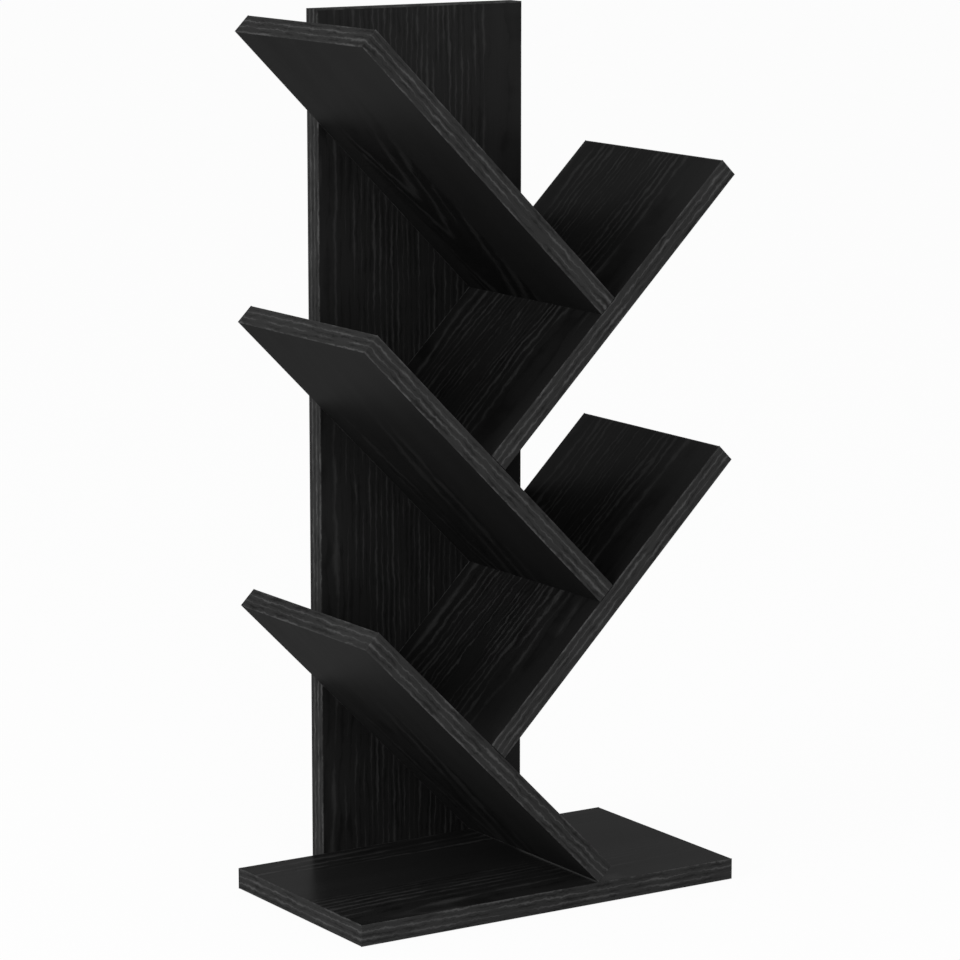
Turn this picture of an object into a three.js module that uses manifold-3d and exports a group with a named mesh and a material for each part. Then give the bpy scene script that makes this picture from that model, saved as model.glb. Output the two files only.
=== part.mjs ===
// Tree shaped bookshelf: five shelves branch at 45 degrees from an upright back board behind a flat base.
// Lengths are in millimetres. Seen from the front, +X is to the right, +Y to the back and +Z up.
// The origin is on the floor, under the middle of the whole piece of furniture.

import * as THREE from 'three';
import { mergeVertices } from 'three/addons/utils/BufferGeometryUtils.js';
import Module from 'manifold-3d';

const wasm = await Module();
wasm.setup();

// Boards, all seven cut from one stock
const boardThickness = 15;
const shelfLength = 269;
const shelfDepth = 170;
const baseWidth = 310;
const backWidth = 170;
const backRise = 2;
const jointGap = 0.3;
const shelfAngle = Math.PI / 4;

// Edge strips, glued over the boards' raw edges
const stripThickness = 1;
const glueGap = 0.05;

// Screws with a countersunk head and a hex socket
const screwLength = 50;
const screwHeadDiameter = 9.5;
const screwHeadRim = 0.6;
const screwHeadCone = 2;
const screwCollarDiameter = 6.8;
const screwCollarLength = 12;
const screwThreadDiameter = 6.2;
const screwTipDiameter = 3;
const screwTipLength = 5;
const screwSink = 0.2;
const screwPlay = 0.15;
const socketWidth = 4;
const socketDepth = 3;

// Wood dowels
const dowelDiameter = 6;
const dowelReach = 20;
const dowelCover = 6;
const dowelChamfer = 0.8;
const dowelPlay = 0.15;

// Places of the screws and dowels
const shelfFixingInset = 35;
const baseScrewInset = 25;
const crossFixingInset = 40;
const crossFixingSpare = 20;

// Holes
const holeSpare = 1;
const overrun = 1;
const roundSides = 16;
const socketSides = 6;

// The shelves from the top down, by turns on the left and on the right. Each one's lower end meets the next
// one, half way along it, and the last one comes down on the base.
const shelfNames = [
  'left_shelf_top',
  'right_shelf_upper',
  'left_shelf_middle',
  'right_shelf_lower',
  'left_shelf_bottom',
];

// Sizes worked out from the ones above. step is how far each shelf's lower end is above the next one's, and
// lowEndX how far its lower corner is from the middle, so that it meets the next shelf's upper face.
const slopeShare = Math.cos(shelfAngle);
const midBoard = boardThickness / 2;
const stripSeat = stripThickness + glueGap;
const backFront = shelfDepth + jointGap;
const overallDepth = backFront + boardThickness;
const landing = (shelfLength - jointGap) / 2;
const step = (shelfLength + boardThickness + jointGap) * slopeShare / 2;
const lowEndX = step / 2 - (boardThickness + jointGap) * slopeShare;
const lowestFoot = boardThickness + jointGap;
const highestFoot = lowestFoot + (shelfNames.length - 1) * step;
const backHeight = highestFoot + (shelfLength + boardThickness) * slopeShare + backRise;

// Screws and dowels: how deep they go
const screwReach = screwLength + screwSink - boardThickness - jointGap;
const screwHoleReach = screwReach + holeSpare;
const dowelFaceHole = boardThickness - dowelCover;
const dowelInFace = dowelFaceHole - holeSpare;
const dowelLength = dowelInFace + jointGap + dowelReach;

// Screws and dowels: where they go. backedLength is the stretch of a shelf that the back board covers.
const backedLength = (backWidth / 2 + lowEndX) / slopeShare + midBoard;
const shelfScrewPlaces = [shelfFixingInset, backedLength - shelfFixingInset];
const shelfDowelPlace = backedLength / 2;
const crossPlaces = [crossFixingInset, shelfDepth - screwHoleReach - crossFixingSpare];
const baseScrewX = backWidth / 2 - baseScrewInset;
const baseScrewPlaces = [-baseScrewX, baseScrewX];
const baseDowelPlaces = [-baseScrewX / 2, baseScrewX / 2];

const rearward = new THREE.Vector3(0, 1, 0);
const forward = new THREE.Vector3(0, -1, 0);
const upward = new THREE.Vector3(0, 0, 1);
const downward = new THREE.Vector3(0, 0, -1);

// Finishes
function boardMaterial() {
  return new THREE.MeshStandardMaterial({ color: 0x1b1b1c, roughness: 0.55, metalness: 0 });
}

function stripMaterial() {
  return new THREE.MeshStandardMaterial({ color: 0x2a2a2b, roughness: 0.5, metalness: 0 });
}

function screwMaterial() {
  return new THREE.MeshStandardMaterial({ color: 0xb9b7b0, roughness: 0.35, metalness: 1 });
}

function dowelMaterial() {
  return new THREE.MeshStandardMaterial({ color: 0xc9a878, roughness: 0.8, metalness: 0 });
}

// Cutting
function toSolid(geometry) {
  const bare = geometry.clone();
  bare.deleteAttribute('normal');
  bare.deleteAttribute('uv');
  const merged = mergeVertices(bare);
  const corners = merged.index.array;
  const kept = [];
  for (let i = 0; i < corners.length; i += 3) {
    const [a, b, c] = corners.slice(i, i + 3);
    if (a !== b && b !== c && c !== a) {
      kept.push(a, b, c);
    }
  }
  const vertProperties = new Float32Array(merged.attributes.position.array);
  return new wasm.Manifold(new wasm.Mesh({ numProp: 3, vertProperties, triVerts: new Uint32Array(kept) }));
}

function cut(geometry, tools) {
  let solid = toSolid(geometry);
  for (const tool of tools) {
    solid = solid.subtract(toSolid(tool));
  }
  const { vertProperties, triVerts, numProp } = solid.getMesh();
  const shape = new THREE.BufferGeometry();
  shape.setAttribute('position', new THREE.BufferAttribute(vertProperties, numProp));
  shape.setIndex(new THREE.BufferAttribute(triVerts, 1));
  const faceted = shape.toNonIndexed();
  faceted.computeVertexNormals();
  return faceted;
}

// Turns a shape made along +Y, with its top at the height 0, so that its top points out of a face
function stood(geometry, at, outwards) {
  const turn = new THREE.Quaternion().setFromUnitVectors(rearward, outwards);
  return geometry.applyQuaternion(turn).translate(at.x, at.y, at.z);
}

function turned(outline) {
  return new THREE.LatheGeometry(outline.map(([x, y]) => new THREE.Vector2(x, y)), roundSides);
}

// Hole shapes, each placed by the point where its middle meets a face, and the way out of that face
function drilled(diameter, depth, at, outwards) {
  const length = depth + overrun;
  const tool = new THREE.CylinderGeometry(diameter / 2, diameter / 2, length, roundSides);
  tool.translate(0, overrun - length / 2, 0);
  return stood(tool, at, outwards);
}

function headHole(at, outwards) {
  const collar = screwCollarDiameter / 2 + screwPlay;
  const head = screwHeadDiameter / 2 + screwPlay;
  const tool = turned([
    [0, -boardThickness - overrun],
    [collar, -boardThickness - overrun],
    [collar, -screwSink - screwHeadRim - screwHeadCone],
    [head, -screwSink - screwHeadRim],
    [head, overrun],
    [0, overrun],
  ]);
  return stood(tool, at, outwards);
}

function threadHole(at, outwards) {
  return drilled(screwThreadDiameter + 2 * screwPlay, screwHoleReach, at, outwards);
}

function dowelHoleInFace(at, outwards) {
  return drilled(dowelDiameter + 2 * dowelPlay, dowelFaceHole, at, outwards);
}

function dowelHoleInEnd(at, outwards) {
  return drilled(dowelDiameter + 2 * dowelPlay, dowelReach + holeSpare, at, outwards);
}

// Screws and dowels
function makeScrew() {
  const blank = turned([
    [0, -screwLength],
    [screwTipDiameter / 2, -screwLength],
    [screwThreadDiameter / 2, screwTipLength - screwLength],
    [screwThreadDiameter / 2, -screwCollarLength],
    [screwCollarDiameter / 2, -screwCollarLength],
    [screwCollarDiameter / 2, -screwHeadRim - screwHeadCone],
    [screwHeadDiameter / 2, -screwHeadRim],
    [screwHeadDiameter / 2, 0],
    [0, 0],
  ]);
  const corner = socketWidth / 2 / Math.cos(Math.PI / socketSides);
  const length = socketDepth + overrun;
  const socket = new THREE.CylinderGeometry(corner, corner, length, socketSides);
  socket.translate(0, overrun - length / 2, 0);
  return cut(blank, [socket]);
}

function makeDowel() {
  const radius = dowelDiameter / 2;
  const half = dowelLength / 2;
  return turned([
    [0, -half],
    [radius - dowelChamfer, -half],
    [radius, dowelChamfer - half],
    [radius, half - dowelChamfer],
    [radius - dowelChamfer, half],
    [0, half],
  ]);
}

function addPiece(group, name, geometry, material, at) {
  const piece = new THREE.Mesh(geometry, material);
  piece.name = name;
  piece.position.copy(at);
  group.add(piece);
  return piece;
}

// A screw is placed by the point where it goes into a face, and its head is sunk a little under that face
function addScrew(group, name, at, outwards) {
  const top = at.clone().addScaledVector(outwards, -screwSink);
  const screw = addPiece(group, name, makeScrew(), screwMaterial(), top);
  screw.quaternion.setFromUnitVectors(rearward, outwards);
}

// A dowel is placed by the point where it stands out of a face
function addDowel(group, name, at, outwards) {
  const middle = at.clone().addScaledVector(outwards, dowelLength / 2 - dowelInFace);
  const dowel = addPiece(group, name, makeDowel(), dowelMaterial(), middle);
  dowel.quaternion.setFromUnitVectors(rearward, outwards);
}

// A flat piece between two opposite corners, with its holes
function addSlab(group, name, material, corners, tools = []) {
  const box = new THREE.Box3().setFromPoints(corners);
  const size = box.getSize(new THREE.Vector3());
  const middle = box.getCenter(new THREE.Vector3());
  const slab = new THREE.BoxGeometry(size.x, size.y, size.z);
  const placed = tools.map((tool) => tool.clone().translate(-middle.x, -middle.y, -middle.z));
  addPiece(group, name, tools.length ? cut(slab, placed) : slab, material, middle);
}

function point(x, y, z) {
  return new THREE.Vector3(x, y, z);
}

// A shelf's own group has its origin at the lower corner of the lower end, and leans with the shelf.
// along runs up the shelf from its lower end.
function placeShelf(name, index) {
  const side = index % 2 ? 1 : -1;
  const group = new THREE.Group();
  group.position.set(-side * lowEndX, 0, highestFoot - index * step);
  group.rotation.y = -side * shelfAngle;
  group.updateMatrix();
  const spot = (along, y, z) => point(side * along, y, z);
  const uphill = point(side, 0, 0);
  return { name, side, group, spot, uphill, carries: index > 0, last: index === shelfNames.length - 1 };
}

// Holes in a shelf's rear edge, and in the strip over it
function rearHoles({ spot }) {
  const screws = shelfScrewPlaces.map((along) => threadHole(spot(along, shelfDepth, midBoard), rearward));
  return [...screws, dowelHoleInEnd(spot(shelfDowelPlace, shelfDepth, midBoard), rearward)];
}

// Holes where a shelf carries the lower end of the one above it: right shelves are screwed from below, and
// left shelves have dowels in their upper face
function landingHoles({ spot, side, carries }) {
  if (!carries) {
    return [];
  }
  return crossPlaces.map((y) => (side > 0
    ? headHole(spot(landing, y, 0), downward)
    : dowelHoleInFace(spot(landing, y, boardThickness), upward)));
}

function lowEndHoles({ spot, side, uphill, last }) {
  if (last) {
    return [];
  }
  const hole = side > 0 ? dowelHoleInEnd : threadHole;
  return crossPlaces.map((y) => hole(spot(0, y, midBoard), uphill.clone().negate()));
}

function addShelfBoards(shelf) {
  const { name, group, spot, last } = shelf;
  const innerFront = stripSeat;
  const innerRear = shelfDepth - stripSeat;
  const rear = rearHoles(shelf);
  const holes = [...rear, ...landingHoles(shelf), ...lowEndHoles(shelf)];
  const slab = (suffix, material, low, high, tools) => addSlab(group, name + suffix, material,
    [spot(low[0], low[1], 0), spot(high[0], high[1], boardThickness)], tools);

  slab('', boardMaterial(), [last ? stripSeat : 0, innerFront], [shelfLength - stripSeat, innerRear], holes);
  slab('_front_strip', stripMaterial(), [0, 0], [shelfLength, stripThickness]);
  slab('_rear_strip', stripMaterial(), [0, shelfDepth - stripThickness], [shelfLength, shelfDepth], rear);
  slab('_free_end_strip', stripMaterial(), [shelfLength - stripThickness, innerFront],
    [shelfLength, innerRear]);
  if (last) {
    slab('_low_end_strip', stripMaterial(), [0, innerFront], [stripThickness, innerRear]);
  }
}

// The screws and dowels that hold a shelf: through the back board, and at its lower end through or into
// the shelf below it
function addShelfFixings({ name, side, group, spot, uphill, last }) {
  shelfScrewPlaces.forEach((along, i) => {
    addScrew(group, `${name}_rear_screw_${i + 1}`, spot(along, overallDepth, midBoard), rearward);
  });
  addDowel(group, `${name}_rear_dowel`, spot(shelfDowelPlace, backFront, midBoard), forward);
  if (last) {
    return;
  }
  crossPlaces.forEach((y, i) => {
    if (side > 0) {
      addDowel(group, `${name}_end_dowel_${i + 1}`, spot(-jointGap, y, midBoard), uphill);
    } else {
      const head = spot(-jointGap - boardThickness, y, midBoard);
      addScrew(group, `${name}_end_screw_${i + 1}`, head, uphill.clone().negate());
    }
  });
}

function addBase(group) {
  const half = baseWidth / 2;
  const rear = [
    ...baseScrewPlaces.map((x) => threadHole(point(x, shelfDepth, midBoard), rearward)),
    ...baseDowelPlaces.map((x) => dowelHoleInEnd(point(x, shelfDepth, midBoard), rearward)),
  ];
  const slab = (name, material, low, high, tools) => addSlab(group, name, material,
    [point(low[0], low[1], 0), point(high[0], high[1], boardThickness)], tools);

  slab('base_board', boardMaterial(), [stripSeat - half, stripSeat],
    [half - stripSeat, shelfDepth - stripSeat], rear);
  slab('base_board_front_strip', stripMaterial(), [-half, 0], [half, stripThickness]);
  slab('base_board_rear_strip', stripMaterial(), [-half, shelfDepth - stripThickness],
    [half, shelfDepth], rear);
  slab('base_board_left_strip', stripMaterial(), [-half, stripSeat],
    [stripThickness - half, shelfDepth - stripSeat]);
  slab('base_board_right_strip', stripMaterial(), [half - stripThickness, stripSeat],
    [half, shelfDepth - stripSeat]);

  baseScrewPlaces.forEach((x, i) => {
    addScrew(group, `base_board_rear_screw_${i + 1}`, point(x, overallDepth, midBoard), rearward);
  });
  baseDowelPlaces.forEach((x, i) => {
    addDowel(group, `base_board_rear_dowel_${i + 1}`, point(x, backFront, midBoard), forward);
  });
}

// Holes in the back board: a shelf's fixings are moved from the shelf's own group by its matrix
function backHoles(shelves) {
  const heads = baseScrewPlaces.map((x) => point(x, overallDepth, midBoard));
  const dowels = baseDowelPlaces.map((x) => point(x, backFront, midBoard));
  for (const { group, spot } of shelves) {
    heads.push(...shelfScrewPlaces.map((along) => spot(along, overallDepth, midBoard)
      .applyMatrix4(group.matrix)));
    dowels.push(spot(shelfDowelPlace, backFront, midBoard).applyMatrix4(group.matrix));
  }
  return [
    ...heads.map((at) => headHole(at, rearward)),
    ...dowels.map((at) => dowelHoleInFace(at, forward)),
  ];
}

function addBackBoard(group, shelves) {
  const half = backWidth / 2;
  const slab = (name, material, low, high, tools) => addSlab(group, name, material,
    [point(low[0], backFront, low[1]), point(high[0], overallDepth, high[1])], tools);

  slab('back_board', boardMaterial(), [stripSeat - half, 0], [half - stripSeat, backHeight - stripSeat],
    backHoles(shelves));
  slab('back_board_left_strip', stripMaterial(), [-half, 0], [stripThickness - half, backHeight]);
  slab('back_board_right_strip', stripMaterial(), [half - stripThickness, 0], [half, backHeight]);
  slab('back_board_top_strip', stripMaterial(), [stripSeat - half, backHeight - stripThickness],
    [half - stripSeat, backHeight]);
}

const bookshelf = new THREE.Group();
const frame = new THREE.Group();
frame.position.y = -overallDepth / 2;
bookshelf.add(frame);

const shelves = shelfNames.map(placeShelf);
for (const shelf of shelves) {
  addShelfBoards(shelf);
  addShelfFixings(shelf);
  frame.add(shelf.group);
}
addBase(frame);
addBackBoard(frame, shelves);

export default bookshelf;
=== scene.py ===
"""Tree shaped bookshelf: near-black boards with an oak figure, edge strips, screws and dowels.

Lengths are in metres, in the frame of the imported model: +X to the right, +Y to the back, +Z up.
"""

import math

import bmesh
import bpy
from mathutils import Matrix, Vector


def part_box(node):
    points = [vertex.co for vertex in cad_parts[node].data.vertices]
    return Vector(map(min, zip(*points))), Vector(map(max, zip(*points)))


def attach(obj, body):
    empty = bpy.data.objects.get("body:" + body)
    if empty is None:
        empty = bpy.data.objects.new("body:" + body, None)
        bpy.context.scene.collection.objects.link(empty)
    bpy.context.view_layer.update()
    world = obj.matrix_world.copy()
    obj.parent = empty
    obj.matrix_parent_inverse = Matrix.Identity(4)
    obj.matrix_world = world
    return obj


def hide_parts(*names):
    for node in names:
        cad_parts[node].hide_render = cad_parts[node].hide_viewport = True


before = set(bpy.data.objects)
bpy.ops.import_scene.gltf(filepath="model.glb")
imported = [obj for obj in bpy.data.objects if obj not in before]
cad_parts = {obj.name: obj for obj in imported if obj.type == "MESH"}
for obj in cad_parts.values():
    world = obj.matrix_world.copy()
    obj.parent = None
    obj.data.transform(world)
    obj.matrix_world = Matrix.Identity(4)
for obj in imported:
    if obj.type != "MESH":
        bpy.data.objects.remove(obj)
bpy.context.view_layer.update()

# Camera, at the photograph's viewing angle: heading and pitch in degrees, lens in millimetres
CAMERA_PLACE = (-1.51118, -2.3526, 0.80204)
CAMERA_HEADING = 32.708
CAMERA_PITCH = 10.339
CAMERA_LENS = 151.57

# Directions. A shelf's own axes are the frame's, turned about Y, and its own X runs along it.
X_AXIS = Vector((1, 0, 0))
Y_AXIS = Vector((0, 1, 0))
Z_AXIS = Vector((0, 0, 1))
LEFT_TURN = math.radians(45)
RIGHT_TURN = math.radians(-45)
LEVEL = 0.0

# The axis that a piece lies along
ALONG_X = 0
ALONG_Y = 1
ALONG_Z = 2

# The way that an edge strip faces: its axis counted from 1, with the sign of the direction
LEFT = -1
RIGHT = 1
FRONT = -2
REAR = 2
TOP = 3

LEFT_SHELVES = ("left_shelf_top", "left_shelf_middle", "left_shelf_bottom")
RIGHT_SHELVES = ("right_shelf_upper", "right_shelf_lower")

# Edge strips. Each one's figure starts a shift further along than the one before it, and is finer than a
# board's along the grain.
STRIP_ROUNDING = 0.0005
ROUNDING_STEPS = 3
STRIP_SHIFT = 0.731
STRIP_FINENESS = 1.6

# Screws with a countersunk head and a hex socket
SCREW_SIDES = 24
HEAD_RADIUS = 0.00475
HEAD_RIM = 0.0006
HEAD_CONE = 0.002
SOCKET_WIDTH = 0.004
SOCKET_DEPTH = 0.003
SOCKET_CORNER = math.radians(60)
COLLAR_RADIUS = 0.0034
COLLAR_LENGTH = 0.012
CORE_RADIUS = 0.0023
TIP_RADIUS = 0.0015
TIP_LENGTH = 0.005
THREAD_RADIUS = 0.0031
THREAD_PITCH = 0.003
THREAD_HALF = 0.0008
THREAD_ROOT = 0.0002
THREAD_TURNS = 10
THREAD_STEPS = 16
SHARP_ANGLE = math.radians(30)

# Wood dowels
DOWEL_RADIUS = 0.003
DOWEL_CHAMFER = 0.0008
DOWEL_SIDES = 36
FLUTE_SPACING = 3
FLUTE_DEPTH = 0.05

# Shades of the foils, as 8-bit greys: dark ground, light ground, lines
# One triple per left shelf. The bottom shelf's shades are lighter as painted light, standing in for bounce
# light it does not get, and the top shelf's ground is darker as painted shade.
LEFT_SHADES_WITH_PAINTED_LIGHT = ((14, 26, 29), (17, 26, 30), (19, 31, 33))
RIGHT_SHADES = (16, 27, 43)
BACK_SHADES = (21, 35, 47)
BASE_SHADES = (19, 34, 51)
STRIP_SHADES = (22, 49, 69)

# The foils' surface: a thin lacquer, and a roughness for the ground and for the lines
LACQUER = 0.048
BASE_LACQUER = 0.078
LACQUER_ROUGHNESS = 0.28
LACQUER_IOR = 2.0
FOIL_ROUGHNESS = (0.3, 0.45)
FOIL_RELIEF = 0.00012

# Zinc and beech: two shades, the roughness of each, and how fine and how deep the patches are
ZINC_SHADES = ((0.5, 0.5, 0.49, 1), (0.66, 0.66, 0.64, 1))
ZINC_ROUGHNESS = (0.45, 0.28)
ZINC_STRETCH = (700, 700, 700)
ZINC_RELIEF = 0.00003
BEECH_SHADES = ((0.46, 0.31, 0.17, 1), (0.66, 0.49, 0.31, 1))
BEECH_ROUGHNESS = (0.75, 0.6)
BEECH_STRETCH = (1500, 1500, 90)
BEECH_RELIEF = 0.00008

# Figures: where the lines lie. The strips have even lines all over, and a board's figure holds what differs.
STRIP_FIGURE = {
    "Lines Per Metre": 200.0,
    "Arches": 0.0,
    "Spread": 0.0,
    "Drift": 0.0,
    "Wander": 0.4,
    "Ragged": 0.0028,
    "Broken": 1.2,
    "Uneven": 0.1,
    "Fullness": -0.02,
    "Sides": 0.0,
    "Middle": 1.0,
    "Dim": 0.0,
    "Band From": -1.0,
    "Band To": -1.0,
    "Outside": 1.0,
    "Plain End": 100.0,
}
TOP_LEFT_FIGURE = {
    **STRIP_FIGURE,
    "Lines Per Metre": 20.0,
    "Arches": 80.0,
    "Drift": -22.7,
    "Wander": 1.2,
    "Ragged": 0.008,
    "Uneven": 0.5,
    "Fullness": -0.05,
    "Sides": 0.18,
    # Dim darkens the ground in the band at the rear of the underside: partly grain, partly painted shade
    "Dim": 0.45,
    "Band From": -0.05,
    "Band To": 0.024,
    "Outside": 0.0,
    "Plain End": -0.038,
}
# The lower left shelves darken the rear of their undersides less, still partly as painted shade
LOW_LEFT_FIGURE = {**TOP_LEFT_FIGURE, "Drift": -9.0, "Broken": 1.5, "Dim": 0.25}
LEFT_FIGURES = (TOP_LEFT_FIGURE, LOW_LEFT_FIGURE, LOW_LEFT_FIGURE)
RIGHT_FIGURE = {
    **STRIP_FIGURE,
    "Lines Per Metre": 210.0,
    "Spread": -13400.0,
    "Wander": 2.5,
    "Ragged": 0.005,
    "Broken": 1.3,
    "Uneven": 0.35,
    "Fullness": -0.06,
    "Sides": 0.12,
    "Dim": 0.05,
    "Band To": -0.08,
}
BACK_FIGURE = {
    **STRIP_FIGURE,
    "Lines Per Metre": 232.0,
    "Spread": -10500.0,
    "Wander": 1.4,
    "Ragged": 0.0025,
    "Broken": 1.35,
    "Uneven": 0.2,
    "Sides": -0.08,
    "Dim": 0.12,
    "Band From": 0.062,
    "Band To": 0.072,
}
BASE_FIGURE = {
    **STRIP_FIGURE,
    "Spread": -9000.0,
    "Drift": -5.5,
    "Wander": 0.9,
    "Ragged": 0.0035,
    "Broken": 1.5,
    "Uneven": 0.3,
    "Fullness": 0.03,
    "Sides": -0.06,
    "Middle": 0.5,
    "Dim": 0.06,
    "Band From": -0.02,
    "Band To": 0.042,
    "Plain End": 0.03,
}

# Where the figures start. A shelf's starts at a depth from front to back, on a left shelf above its middle,
# and out of its face, so that each board has noise of its own.
LEFT_START_DEPTH = 0.032
LEFT_START_RISE = 0.069
RIGHT_START_DEPTH = 0.005
NEXT_SHELF = 0.37
RIGHT_SIDE = 5
BACK_START = (-0.005, 3.0, 0.3)
BASE_START = (0.047, 0, 2.0)

# Noise in the oak figure: how fast it changes along the grain, across it and out of the face. The breaks and
# streaks change along the grain, from line to line and out of the face.
NOISE_MIDDLE = 0.5
NOISE_DETAIL = 2.0
COARSE_WAVES = (45, 90, 90)
FINE_WAVES = (170, 350, 350)
BENDS = (8, 22, 22)
BREAKS = (22, 1.7, 1)
STREAKS = (40, 2.3, 1)
BAND_WAVES = (12, 40, 40)
CLOUDS = (5, 30, 30)
FIBRES = (28, 900, 900)
FIBRE_DETAIL = 1.0

# Strengths in the oak figure
COARSE_SHARE = 1.2
STREAK_CONTRAST = 2.4
BAND_WANDER = 0.02
PAST_END = 0.2
GROUND_TONE = 0.6
DARK_DEPTH = 0.5
CLOUD_DEPTH = 0.7
FIBRE_TONE = 0.35
FIBRE_HEIGHT = 0.5

# Places in the oak figure: the middle of a line, the roundness of an arch, and the start and end of each step
LINE_MIDDLE = 0.5
ARCH_TIP = 0.006
SIDE_STEP = (0.015, 0.05)
LINE_STEP = (0.6, 1.15)
DARK_STEP = (-0.35, 0.25)
BAND_STEP = (-0.004, 0.004)
END_STEP = (-0.03, 0.03)

# Soft patches in the zinc and the beech
PATCH_DETAIL = 4.0
PATCH_CONTRAST = 1.8

# Light, background and floor. Each lamp has a place and a power in watts.
LAMPS = {"lamp_left": ((-3.1, -0.5, 1.1), 65), "lamp_front": ((-1.2, -3.0, 1.5), 37)}
LAMP_SIZE = 2.0
LAMP_AIM = Vector((0, 0, 0.3))
WHITE = (1, 1, 1, 1)
WORLD_FILL = 0.52
FLOOR_RADIUS = 30
FLOOR_SIDES = 96
FLOOR_GAP = 0.0005
FLOOR_SHADE = (0.9, 0.9, 0.9, 1)
FLOOR_GLOW = 0.95

# The curve that turns an 8-bit grey into a linear one
LEVELS = 255
CURVE_LIFT = 0.055
CURVE_POWER = 2.4


# Shader nodes

def grey(level):
    """An 8-bit grey as a linear colour."""
    part = ((level / LEVELS + CURVE_LIFT) / (1 + CURVE_LIFT)) ** CURVE_POWER
    return (part, part, part, 1)


def feed(tree, node, inputs):
    """Gives each input a socket to join or a value to hold."""
    for key, value in inputs.items():
        if isinstance(value, bpy.types.NodeSocket):
            tree.links.new(value, node.inputs[key])
        else:
            node.inputs[key].default_value = value


def put(tree, kind, inputs=None, **settings):
    node = tree.nodes.new("ShaderNode" + kind)
    for key, value in settings.items():
        setattr(node, key, value)
    feed(tree, node, inputs or {})
    return node


def use_group(tree, group, inputs):
    node = tree.nodes.new("ShaderNodeGroup")
    node.node_tree = group
    feed(tree, node, inputs)
    return node.outputs


def calc(tree, operation, *values):
    """A Math node's result."""
    return put(tree, "Math", dict(enumerate(values)), operation=operation).outputs[0]


def noise(tree, vector, scale, detail=NOISE_DETAIL):
    """Noise about zero, stretched by a scale for each axis."""
    place = put(tree, "VectorMath", {0: vector, 1: scale}, operation="MULTIPLY").outputs[0]
    node = put(tree, "TexNoise", {"Vector": place, "Scale": 1.0, "Detail": detail})
    return calc(tree, "SUBTRACT", node.outputs[0], NOISE_MIDDLE)


def step_between(tree, value, start, end):
    """0 before start, 1 after end, smooth between them."""
    feeds = {"Value": value, "From Min": start, "From Max": end}
    return put(tree, "MapRange", feeds, interpolation_type="SMOOTHSTEP").outputs[0]


def ramp(tree, value, low, high):
    """Takes 0 to 1 over to low to high."""
    return put(tree, "MapRange", {"Value": value, "To Min": low, "To Max": high}).outputs[0]


def blended(tree, factor, first, second):
    return put(tree, "MixRGB", {"Fac": factor, "Color1": first, "Color2": second}).outputs[0]


def raised(tree, height, distance):
    return put(tree, "Bump", {"Height": height, "Distance": distance}).outputs[0]


def new_group(name, takes, gives):
    group = bpy.data.node_groups.new(name, "ShaderNodeTree")
    for socket in takes:
        kind = "NodeSocketVector" if socket in ("Vector", "Stretch") else "NodeSocketFloat"
        group.interface.new_socket(socket, in_out="INPUT", socket_type=kind)
    for socket in gives:
        group.interface.new_socket(socket, in_out="OUTPUT", socket_type="NodeSocketFloat")
    taken = group.nodes.new("NodeGroupInput").outputs
    given = group.nodes.new("NodeGroupOutput").inputs
    return group, taken, given


def line_count(group, taken, along, across):
    """How many lines lie between the start and a point, with whole numbers half way between two lines."""
    vector = taken["Vector"]
    coarse = noise(group, vector, COARSE_WAVES)
    waves = calc(group, "MULTIPLY_ADD", coarse, COARSE_SHARE, noise(group, vector, FINE_WAVES))
    bent = calc(group, "MULTIPLY_ADD", waves, taken["Ragged"], across)
    square = calc(group, "MULTIPLY", bent, bent)
    ridge = calc(group, "SQRT", calc(group, "ADD", square, ARCH_TIP ** 2))
    rate = calc(group, "MULTIPLY_ADD", square, taken["Spread"], taken["Lines Per Metre"])
    count = calc(group, "MULTIPLY_ADD", along, taken["Drift"], calc(group, "MULTIPLY", bent, rate))
    count = calc(group, "MULTIPLY_ADD", ridge, taken["Arches"], count)
    return calc(group, "MULTIPLY_ADD", noise(group, vector, BENDS), taken["Wander"], count)


def figured_zone(group, taken, along, across):
    """1 where the figure lies, less where the board is plain."""
    edge = calc(group, "MULTIPLY_ADD", noise(group, taken["Vector"], BAND_WAVES), BAND_WANDER, across)
    after = step_between(group, calc(group, "SUBTRACT", edge, taken["Band From"]), *BAND_STEP)
    before = step_between(group, calc(group, "SUBTRACT", taken["Band To"], edge), *BAND_STEP)
    within = calc(group, "MULTIPLY", after, before)
    zone = calc(group, "ABSOLUTE", calc(group, "SUBTRACT", within, taken["Outside"]))
    past = step_between(group, calc(group, "SUBTRACT", along, taken["Plain End"]), *END_STEP)
    return calc(group, "MULTIPLY", zone, ramp(group, past, 1.0, PAST_END))


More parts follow.
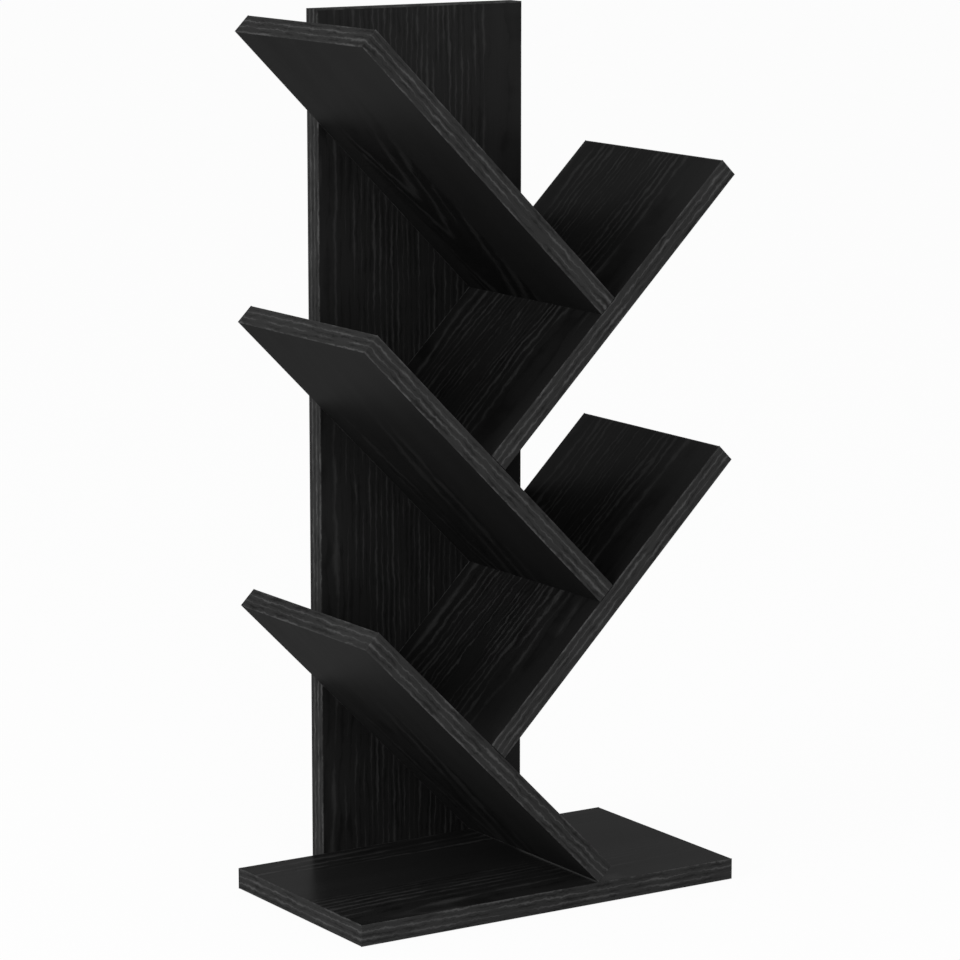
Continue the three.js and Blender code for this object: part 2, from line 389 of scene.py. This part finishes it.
def oak_figure():
    """The figure of oak: light lines in a dark ground, broken along their length.

    Vector's X runs along the grain and its Y across it. Lines Per Metre, Arches and Spread set how they lie:
    evenly, in arches round a ridge, and closer or wider apart towards the sides. Drift moves them along the
    grain, Wander bends them, Ragged roughens them, Broken opens gaps in them, Uneven makes some stronger than
    others, Fullness widens them and Sides widens those at the sides. Middle is how clear they are in the
    middle, and Dim how much darker the ground is between them. Where the band lies at the rear of a left
    shelf's underside, that darker ground is partly painted shade. Lines lie within the band, or outside it
    where Outside is 1, and fade past Plain End.
    """
    group, taken, given = new_group("oak_figure", ["Vector", *STRIP_FIGURE], ["Line", "Tone", "Height"])
    vector = taken["Vector"]
    along, across, out = put(group, "SeparateXYZ", {0: vector}).outputs
    zone = figured_zone(group, taken, along, across)
    count = line_count(group, taken, along, across)
    number = calc(group, "FLOOR", count)
    peak = calc(group, "DIVIDE", calc(group, "PINGPONG", count, LINE_MIDDLE), LINE_MIDDLE)
    lane = put(group, "CombineXYZ", {0: along, 1: number, 2: out}).outputs[0]

    own = put(group, "TexWhiteNoise", {"W": number}, noise_dimensions="1D").outputs[0]
    own = calc(group, "SUBTRACT", own, NOISE_MIDDLE)
    aside = step_between(group, calc(group, "ABSOLUTE", across), *SIDE_STEP)
    strength = calc(group, "MULTIPLY_ADD", noise(group, lane, BREAKS), taken["Broken"], peak)
    strength = calc(group, "MULTIPLY_ADD", own, taken["Uneven"], strength)
    fuller = calc(group, "MULTIPLY_ADD", aside, taken["Sides"], taken["Fullness"])
    light = step_between(group, calc(group, "ADD", strength, fuller), *LINE_STEP)
    light = calc(group, "MULTIPLY", light, ramp(group, aside, taken["Middle"], 1.0))
    line = calc(group, "MULTIPLY", light, zone)

    streaks = calc(group, "MULTIPLY", noise(group, lane, STREAKS), STREAK_CONTRAST)
    dark = step_between(group, calc(group, "SUBTRACT", streaks, peak), *DARK_STEP)
    # Darker ground: the grain's dark streaks plus Dim. On the left shelves, Dim is partly painted shade at
    # the rear of the underside.
    dark_grain_and_shade = calc(group, "MULTIPLY_ADD", dark, DARK_DEPTH, taken["Dim"])
    fibre = noise(group, vector, FIBRES, FIBRE_DETAIL)
    tone = calc(group, "SUBTRACT", GROUND_TONE, calc(group, "MULTIPLY", dark_grain_and_shade, zone))
    tone = calc(group, "MULTIPLY_ADD", noise(group, vector, CLOUDS), CLOUD_DEPTH, tone)
    tone = calc(group, "MULTIPLY_ADD", fibre, FIBRE_TONE, tone)
    height = calc(group, "MULTIPLY_ADD", fibre, FIBRE_HEIGHT, calc(group, "SUBTRACT", 1.0, line))

    group.links.new(line, given["Line"])
    group.links.new(put(group, "Clamp", {"Value": tone}).outputs[0], given["Tone"])
    group.links.new(height, given["Height"])
    return group


def mottle():
    """Soft patches from 0 to 1, stretched along the axes."""
    group, taken, given = new_group("mottle", ["Vector", "Stretch"], ["Patches"])
    soft = noise(group, taken["Vector"], taken["Stretch"], PATCH_DETAIL)
    patches = calc(group, "MULTIPLY_ADD", soft, PATCH_CONTRAST, NOISE_MIDDLE)
    group.links.new(put(group, "Clamp", {"Value": patches}).outputs[0], given["Patches"])
    return group


# Materials

def empty_material(name):
    material = bpy.data.materials.new(name)
    material.use_nodes = True
    material.node_tree.nodes.clear()
    return material, material.node_tree


def shaded_material(name):
    """A material, its node tree and its Principled shader, joined to the output."""
    material, tree = empty_material(name)
    shader = put(tree, "BsdfPrincipled")
    put(tree, "OutputMaterial", {"Surface": shader.outputs[0]})
    return material, tree, shader


def finish_in_oak(tree, shader, vector, shades, figure, lacquer):
    """Near-black lacquered oak foil. vector is the place in the grain's axes."""
    grain = use_group(tree, oak, {"Vector": vector, **figure})
    dark, light, line = [grey(level) for level in shades]
    ground = blended(tree, grain["Tone"], dark, light)
    feed(tree, shader, {
        "Base Color": blended(tree, grain["Line"], ground, line),
        "Roughness": ramp(tree, grain["Line"], *FOIL_ROUGHNESS),
        "Normal": raised(tree, grain["Height"], FOIL_RELIEF),
        "Specular IOR Level": 0.0,
        "Coat Weight": lacquer,
        "Coat Roughness": LACQUER_ROUGHNESS,
        "Coat IOR": LACQUER_IOR,
    })


def board_foil(board, along, across, start, shades, figure, lacquer=LACQUER):
    """Foil for a board whose grain runs along one direction, with the figure measured from a start point."""
    material, tree, shader = shaded_material(board + "_foil")
    axes = Matrix((along, across, along.cross(across)))
    vector = put(tree, "Mapping", {
        "Vector": put(tree, "TexCoord").outputs["Object"],
        "Rotation": axes.to_euler(),
        "Location": -(axes @ Vector(start)),
    }).outputs[0]
    finish_in_oak(tree, shader, vector, shades, figure, lacquer)
    return material


def edge_strip_foil():
    """Foil for the edge strips, whose UV map holds the place in the grain's axes."""
    material, tree, shader = shaded_material("edge_strip_foil")
    vector = put(tree, "UVMap", uv_map="grain").outputs[0]
    finish_in_oak(tree, shader, vector, STRIP_SHADES, STRIP_FIGURE, LACQUER)
    return material


def zinc():
    material, tree, shader = shaded_material("screw_zinc")
    place = put(tree, "TexCoord").outputs["Object"]
    patches = use_group(tree, mottled, {"Vector": place, "Stretch": ZINC_STRETCH})["Patches"]
    feed(tree, shader, {
        "Base Color": blended(tree, patches, *ZINC_SHADES),
        "Metallic": 1.0,
        "Roughness": ramp(tree, patches, *ZINC_ROUGHNESS),
        "Normal": raised(tree, patches, ZINC_RELIEF),
    })
    return material


def beech():
    """Beech, streaked along the Z of the piece's own axes."""
    material, tree, shader = shaded_material("dowel_beech")
    place = put(tree, "Attribute", attribute_name="grain").outputs["Vector"]
    streaks = use_group(tree, mottled, {"Vector": place, "Stretch": BEECH_STRETCH})["Patches"]
    feed(tree, shader, {
        "Base Color": blended(tree, streaks, *BEECH_SHADES),
        "Roughness": ramp(tree, streaks, *BEECH_ROUGHNESS),
        "Normal": raised(tree, streaks, BEECH_RELIEF),
    })
    return material


# Pieces

def turned_about_y(angle):
    return Matrix.Rotation(angle, 3, "Y")


def measured(node, turn):
    """Lowest and highest corner of a CAD node in axes turned about Y."""
    back = turned_about_y(-turn)
    places = [back @ vertex.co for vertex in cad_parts[node].data.vertices]
    low = Vector([min(values) for values in zip(*places)])
    high = Vector([max(values) for values in zip(*places)])
    return low, high


def placed(name, data):
    """Makes an object of its data and puts it in the scene."""
    thing = bpy.data.objects.new(name, data)
    bpy.context.scene.collection.objects.link(thing)
    return thing


def mesh_object(mesh, name, material):
    """Makes the object of a bmesh whose vertices are in place."""
    data = bpy.data.meshes.new(name)
    mesh.to_mesh(data)
    mesh.free()
    data.materials.append(material)
    return placed(name, data)


def finished(mesh, name, node, material):
    """Makes a piece that stands for a CAD node and rides on the whole part."""
    piece = mesh_object(mesh, name, material)
    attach(piece, "root")
    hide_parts(node)
    return piece


def add_strip(node, turn, along, facing, number):
    """An edge strip: a thin band with rounded outer arrises. number sets where its figure starts."""
    low, high = measured(node, turn)
    size = high - low
    middle = (high + low) / 2
    mesh = bmesh.new()
    bmesh.ops.create_cube(mesh, size=1)
    bmesh.ops.scale(mesh, vec=size, verts=mesh.verts)
    bmesh.ops.translate(mesh, vec=middle, verts=mesh.verts)
    axis = abs(facing) - 1
    face = high[axis] if facing > 0 else low[axis]
    outer = [edge for edge in mesh.edges if all(abs(v.co[axis] - face) < size[axis] / 2 for v in edge.verts)]
    bmesh.ops.bevel(mesh, geom=outer, offset=STRIP_ROUNDING, affect="EDGES", segments=ROUNDING_STEPS,
                    profile=0.5, material=-1)
    (across,) = {ALONG_X, ALONG_Y, ALONG_Z} - {along, axis}
    layer = mesh.loops.layers.uv.new("grain")
    for side in mesh.faces:
        for loop in side.loops:
            place = loop.vert.co
            lengthways = place[along] * STRIP_FINENESS + number * STRIP_SHIFT
            loop[layer].uv = (lengthways, place[across] - middle[across])
    bmesh.ops.rotate(mesh, cent=(0, 0, 0), matrix=turned_about_y(turn), verts=mesh.verts)
    finished(mesh, node + "_trim", node, strip_foil)


def shelf_strips(shelf, turn, free_end):
    return [
        (shelf + "_front_strip", turn, ALONG_X, FRONT),
        (shelf + "_rear_strip", turn, ALONG_X, REAR),
        (shelf + "_free_end_strip", turn, ALONG_Y, free_end),
    ]


def add_strips():
    """Adds every edge strip, each with its own place in the strips' figure."""
    plan = []
    for shelf in LEFT_SHELVES:
        plan += shelf_strips(shelf, LEFT_TURN, LEFT)
    plan += [("left_shelf_bottom_low_end_strip", LEFT_TURN, ALONG_Y, RIGHT)]
    for shelf in RIGHT_SHELVES:
        plan += shelf_strips(shelf, RIGHT_TURN, RIGHT)
    plan += [
        ("base_board_front_strip", LEVEL, ALONG_X, FRONT),
        ("base_board_rear_strip", LEVEL, ALONG_X, REAR),
        ("base_board_left_strip", LEVEL, ALONG_Y, LEFT),
        ("base_board_right_strip", LEVEL, ALONG_Y, RIGHT),
        ("back_board_left_strip", LEVEL, ALONG_Z, LEFT),
        ("back_board_right_strip", LEVEL, ALONG_Z, RIGHT),
        ("back_board_top_strip", LEVEL, ALONG_X, TOP),
    ]
    for number, (node, turn, along, facing) in enumerate(plan):
        add_strip(node, turn, along, facing, number)


def turned_rings(mesh, ring, profile):
    """Extrudes a ring of edges down Z through a profile of radii and heights, and closes the last ring."""
    for (last, _), (radius, height) in zip(profile, profile[1:]):
        made = bmesh.ops.extrude_edge_only(mesh, edges=ring)["geom"]
        points = [part for part in made if isinstance(part, bmesh.types.BMVert)]
        bmesh.ops.scale(mesh, vec=(radius / last, radius / last, 0), verts=points)
        bmesh.ops.translate(mesh, vec=(0, 0, height), verts=points)
        edges = [part for part in made if isinstance(part, bmesh.types.BMEdge)]
        ring = [edge for edge in edges if all(point in points for point in edge.verts)]
    bmesh.ops.edgeloop_fill(mesh, edges=ring)


def cut_socket(mesh, top):
    """Insets the head's top face to a hexagon and sinks it."""
    corner = SOCKET_WIDTH / 2 / math.cos(SOCKET_CORNER / 2)
    bmesh.ops.inset_region(mesh, faces=[top], thickness=HEAD_RADIUS - corner, use_boundary=True)
    for point in top.verts:
        angle = math.atan2(point.co.y, point.co.x)
        from_flat = (angle + SOCKET_CORNER / 2) % SOCKET_CORNER - SOCKET_CORNER / 2
        point.co.xy *= SOCKET_WIDTH / 2 / math.cos(from_flat) / point.co.xy.length
    dark_grain_and_shade = bmesh.ops.extrude_discrete_faces(mesh, faces=[top])["faces"][0]
    bmesh.ops.translate(mesh, vec=(0, 0, -SOCKET_DEPTH), verts=dark_grain_and_shade.verts)


def add_thread(mesh):
    """A three-sided ridge that winds down round the core and ends in a point at both ends."""
    start = -COLLAR_LENGTH - THREAD_PITCH / 2
    root = CORE_RADIUS - THREAD_ROOT
    places = [(root, 0, start + THREAD_HALF), (THREAD_RADIUS, 0, start), (root, 0, start - THREAD_HALF)]
    first = [mesh.verts.new(place) for place in places]
    section = [mesh.edges.new((first[i - 1], first[i])) for i in range(len(first))]
    steps = THREAD_TURNS * THREAD_STEPS
    wound = bmesh.ops.spin(mesh, geom=first + section, cent=(0, 0, 0), axis=Z_AXIS, steps=steps,
                           dvec=(0, 0, -THREAD_PITCH / THREAD_STEPS), angle=math.tau * THREAD_TURNS)
    last = [part for part in wound["geom_last"] if isinstance(part, bmesh.types.BMVert)]
    for end in (first, last):
        bmesh.ops.pointmerge(mesh, verts=end, merge_co=(root, 0, sum(point.co.z for point in end) / len(end)))


def screw_shape(length):
    """A screw along Z, with the top of its head at zero."""
    mesh = bmesh.new()
    bmesh.ops.create_circle(mesh, cap_ends=True, segments=SCREW_SIDES, radius=HEAD_RADIUS)
    cut_socket(mesh, mesh.faces[:][0])
    turned_rings(mesh, [edge for edge in mesh.edges if edge.is_boundary], [
        (HEAD_RADIUS, 0),
        (HEAD_RADIUS, -HEAD_RIM),
        (COLLAR_RADIUS, -HEAD_RIM - HEAD_CONE),
        (COLLAR_RADIUS, -COLLAR_LENGTH),
        (CORE_RADIUS, -COLLAR_LENGTH),
        (CORE_RADIUS, TIP_LENGTH - length),
        (TIP_RADIUS, -length),
    ])
    add_thread(mesh)
    return mesh


def dowel_shape(length):
    """A fluted dowel along Z, with chamfered ends and its top at zero."""
    mesh = bmesh.new()
    end = DOWEL_RADIUS - DOWEL_CHAMFER
    bmesh.ops.create_circle(mesh, cap_ends=True, segments=DOWEL_SIDES, radius=end)
    flutes = mesh.verts[:][::FLUTE_SPACING]
    bmesh.ops.scale(mesh, vec=(1 - FLUTE_DEPTH, 1 - FLUTE_DEPTH, 1), verts=flutes)
    turned_rings(mesh, mesh.edges[:], [
        (end, 0),
        (DOWEL_RADIUS, -DOWEL_CHAMFER),
        (DOWEL_RADIUS, DOWEL_CHAMFER - length),
        (end, -length),
    ])
    return mesh


def add_fixing(node, shape, turn, axis, suffix, material):
    """Makes a screw or dowel along one axis of the turned axes, with its top where the node's high end is."""
    low, high = measured(node, turn)
    top = (low + high) / 2
    top[axis] = high[axis]
    mesh = shape(high[axis] - low[axis])
    bmesh.ops.recalc_face_normals(mesh, faces=mesh.faces)
    layer = mesh.verts.layers.float_vector.new("grain")
    for point in mesh.verts:
        point[layer] = point.co
    way = turned_about_y(turn) @ (X_AXIS, Y_AXIS, Z_AXIS)[axis]
    turn_to_way = Z_AXIS.rotation_difference(way).to_matrix()
    bmesh.ops.rotate(mesh, cent=(0, 0, 0), matrix=turn_to_way, verts=mesh.verts)
    bmesh.ops.translate(mesh, vec=turned_about_y(turn) @ top, verts=mesh.verts)
    piece = finished(mesh, node + suffix, node, material)
    piece.data.shade_smooth()
    piece.data.set_sharp_from_angle(angle=SHARP_ANGLE)


def add_fixings():
    """The end screws' heads point down the left shelves, and the end dowels lie along the right shelves."""
    steel = zinc()
    wood = beech()
    for node in sorted(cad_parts):
        if "_end_screw" in node:
            add_fixing(node, screw_shape, LEFT_TURN, ALONG_X, "_threaded", steel)
        elif "_screw" in node:
            add_fixing(node, screw_shape, LEVEL, ALONG_Y, "_threaded", steel)
        elif "_end_dowel" in node:
            add_fixing(node, dowel_shape, RIGHT_TURN, ALONG_X, "_fluted", wood)
        elif "_dowel" in node:
            add_fixing(node, dowel_shape, LEVEL, ALONG_Y, "_fluted", wood)


def dress(board, material):
    """Gives a CAD board its material."""
    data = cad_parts[board].data
    data.materials.clear()
    data.materials.append(material)


def shelf_start(shelf, depth, up, out):
    """The middle of a shelf at a depth from front to back, moved out of its face."""
    low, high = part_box(shelf)
    middle = (low + high) / 2
    return Vector((middle.x, depth, middle.z)) + up.cross(Y_AXIS) * out


def dress_boards():
    """Gives each board its foil. Each start lies in a part of the figure of its own."""
    up_left = (Z_AXIS - X_AXIS).normalized()
    up_right = (Z_AXIS + X_AXIS).normalized()
    for number, shelf in enumerate(LEFT_SHELVES):
        start = shelf_start(shelf, LEFT_START_DEPTH, up_left, NEXT_SHELF * number)
        start += up_left * LEFT_START_RISE
        foil = board_foil(shelf, up_left, Y_AXIS, start, LEFT_SHADES_WITH_PAINTED_LIGHT[number], LEFT_FIGURES[number])
        dress(shelf, foil)
    for number, shelf in enumerate(RIGHT_SHELVES):
        start = shelf_start(shelf, RIGHT_START_DEPTH, up_right, NEXT_SHELF * number + RIGHT_SIDE)
        dress(shelf, board_foil(shelf, up_right, Y_AXIS, start, RIGHT_SHADES, RIGHT_FIGURE))
    dress("back_board", board_foil("back_board", Z_AXIS, X_AXIS, BACK_START, BACK_SHADES, BACK_FIGURE))
    base = board_foil("base_board", X_AXIS, Y_AXIS, BASE_START, BASE_SHADES, BASE_FIGURE, BASE_LACQUER)
    dress("base_board", base)


# Floor, background, light and camera

def seen_directly(tree):
    """1 for what the camera sees straight, in a mirror or through glass, and 0 for scattered light."""
    rays = put(tree, "LightPath").outputs
    straight = calc(tree, "MAXIMUM", rays["Is Camera Ray"], rays["Is Glossy Ray"])
    return calc(tree, "MAXIMUM", straight, rays["Is Transmission Ray"])


def floor_white():
    """A matt pale floor that looks white where it is seen and keeps the shadow."""
    material, tree = empty_material("floor_white")
    matt = put(tree, "BsdfDiffuse", {"Color": FLOOR_SHADE}).outputs[0]
    glow = put(tree, "Emission", {"Color": WHITE, "Strength": 1.0}).outputs[0]
    share = calc(tree, "MULTIPLY", seen_directly(tree), FLOOR_GLOW)
    mixed = put(tree, "MixShader", {0: share, 1: matt, 2: glow}).outputs[0]
    put(tree, "OutputMaterial", {"Surface": mixed})
    return material


def add_floor():
    mesh = bmesh.new()
    bmesh.ops.create_circle(mesh, cap_ends=True, segments=FLOOR_SIDES, radius=FLOOR_RADIUS)
    bmesh.ops.translate(mesh, vec=(0, 0, -FLOOR_GAP), verts=mesh.verts)
    floor = mesh_object(mesh, "floor", floor_white())


def add_world():
    world = bpy.data.worlds.new("studio")
    world.use_nodes = True
    tree = world.node_tree
    tree.nodes.clear()
    strength = calc(tree, "MAXIMUM", seen_directly(tree), WORLD_FILL)
    studio = put(tree, "Background", {"Color": WHITE, "Strength": strength}).outputs[0]
    put(tree, "OutputWorld", {"Surface": studio})
    bpy.context.scene.world = world


def add_lamp(name, place, power):
    data = bpy.data.lights.new(name, "AREA")
    data.shape = "DISK"
    data.size = LAMP_SIZE
    data.energy = power
    lamp = placed(name, data)
    lamp.location = place
    lamp.rotation_euler = (LAMP_AIM - Vector(place)).to_track_quat("-Z", "Y").to_euler()


def add_camera():
    data = bpy.data.cameras.new("camera")
    data.lens = CAMERA_LENS
    camera = placed("camera", data)
    camera.location = CAMERA_PLACE
    camera.rotation_euler = (math.radians(90 - CAMERA_PITCH), 0, math.radians(-CAMERA_HEADING))
    bpy.context.scene.camera = camera


oak = oak_figure()
mottled = mottle()
strip_foil = edge_strip_foil()

add_strips()
dress_boards()
add_fixings()
add_floor()
add_world()
for name, (place, power) in LAMPS.items():
    add_lamp(name, place, power)
add_camera()
bpy.context.scene.view_settings.view_transform = "Standard"
